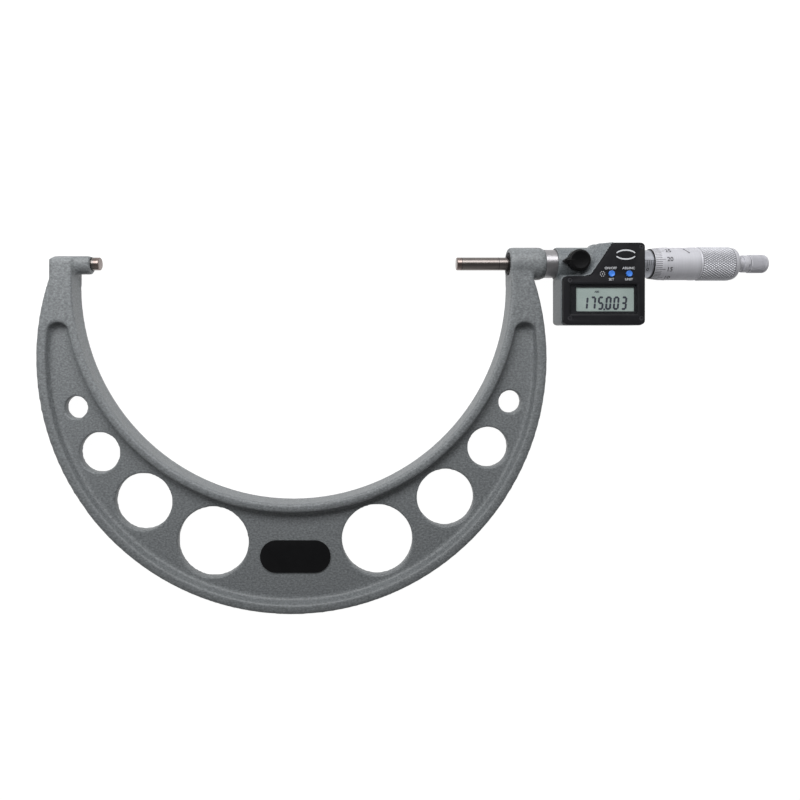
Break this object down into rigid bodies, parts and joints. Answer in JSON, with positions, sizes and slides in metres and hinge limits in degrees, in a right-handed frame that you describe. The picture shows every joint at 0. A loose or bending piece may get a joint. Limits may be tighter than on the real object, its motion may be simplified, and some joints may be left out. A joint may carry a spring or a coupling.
{
  "type": "digital micrometer",
  "caption": "Outside micrometer with a cast C-shaped frame, digital display, spindle lock, graduated thimble and ratchet stop.",
  "frame": {"origin": "centre of the anvil's measuring face", "axes": "+X along the spindle away from the anvil, +Y from the throat towards the spindle, +Z out of the display"},
  "size_m": [0.3559, 0.1792, 0.0214],
  "materials": {
    "frame_paint": "grey hammertone paint on cast iron",
    "housing_paint": "smooth grey paint",
    "plate_black": "black satin lacquer",
    "ground_steel": "ground and polished",
    "hard_metal": "lapped hard metal",
    "satin_chrome": "satin chrome plate",
    "black_rubber": "matte",
    "contact_rubber": "matte",
    "cover_black": "fine satin",
    "window_clear": "clear and polished",
    "display_glass": "grey-green display",
    "white_plastic": "moulded",
    "board_green": "solder-masked board",
    "chip_black": "moulded",
    "screw_steel": "plain",
    "cell_steel": "bright",
    "contact_brass": "plain",
    "ribbon_amber": "thin film",
    "lever_black": "satin",
    "button_blue": "smooth",
    "cap_grey": "fine grain"
  },
  "bodies": {
    "frame": {"frame_casting": "frame_paint", "name_plate": "plate_black", "anvil": "ground_steel", "anvil_tip": "hard_metal", "wiper_seal": "black_rubber", "stem_tube": "satin_chrome", "housing": "housing_paint", "cover_gasket": "black_rubber", "front_cover": "cover_black", "window": "window_clear", "lcd_panel": "display_glass", "lcd_holder": "white_plastic", "contact_strips": "contact_rubber", "circuit_board": "board_green", "board_chip": "chip_black", "button_mat": "black_rubber", "cover_screws": "screw_steel", "battery": "cell_steel", "battery_spring": "contact_brass", "battery_side_contact": "contact_brass", "encoder_stator": "board_green", "encoder_ribbon": "ribbon_amber", "inner_sleeve": "ground_steel", "graduated_sleeve": "satin_chrome", "adjusting_nut": "ground_steel", "lock_shoe": "contact_brass"},
    "rotor": {"encoder_rotor": "board_green", "rotor_hub": "contact_brass", "rotor_key": "screw_steel", "rotor_washer": "screw_steel"},
    "spindle_set": {"spindle": "ground_steel", "spindle_tip": "hard_metal", "thimble": "satin_chrome", "ratchet_body": "satin_chrome", "ratchet_screw": "screw_steel", "ratchet_spring": "screw_steel"},
    "ratchet": {"ratchet_knob": "satin_chrome"},
    "lock": {"lock_lever": "lever_black", "lock_shaft": "ground_steel"},
    "power": {"power_button": "button_blue"},
    "unit": {"unit_button": "button_blue"},
    "cap": {"battery_cap": "cap_grey", "battery_cap_seal": "black_rubber"}
  },
  "joints": [
    {"name": "spindle_turn", "type": "hinge", "parent": "frame", "child": "rotor", "pos_m": [0.2392, 0, 0], "axis": [1, 0, 0], "range_deg": [0, 18000]},
    {"name": "spindle_travel", "type": "slide", "parent": "rotor", "child": "spindle_set", "axis": [1, 0, 0], "range_m": [0, 0.025]},
    {"name": "ratchet_turn", "type": "hinge", "parent": "spindle_set", "child": "ratchet", "pos_m": [0.3181, 0, 0], "axis": [1, 0, 0], "continuous": true},
    {"name": "lock_turn", "type": "hinge", "parent": "frame", "child": "lock", "pos_m": [0.2319, 0.0008, 0.0086], "axis": [0, 0, 1], "range_deg": [-60, 0]},
    {"name": "power_press", "type": "slide", "parent": "frame", "child": "power", "axis": [0, 0, -1], "range_m": [0, 0.0005], "stiffness_N_per_m": 1500, "springref_m": -0.0003},
    {"name": "unit_press", "type": "slide", "parent": "frame", "child": "unit", "axis": [0, 0, -1], "range_m": [0, 0.0005], "stiffness_N_per_m": 1500, "springref_m": -0.0003},
    {"name": "battery_cap_lift", "type": "slide", "parent": "frame", "child": "cap", "axis": [0, 0, -1], "range_m": [0, 0.008]}
  ],
  "couplings": [
    {"joint": "spindle_turn", "follows": "spindle_travel", "rad_per_m": 12566}
  ]
}
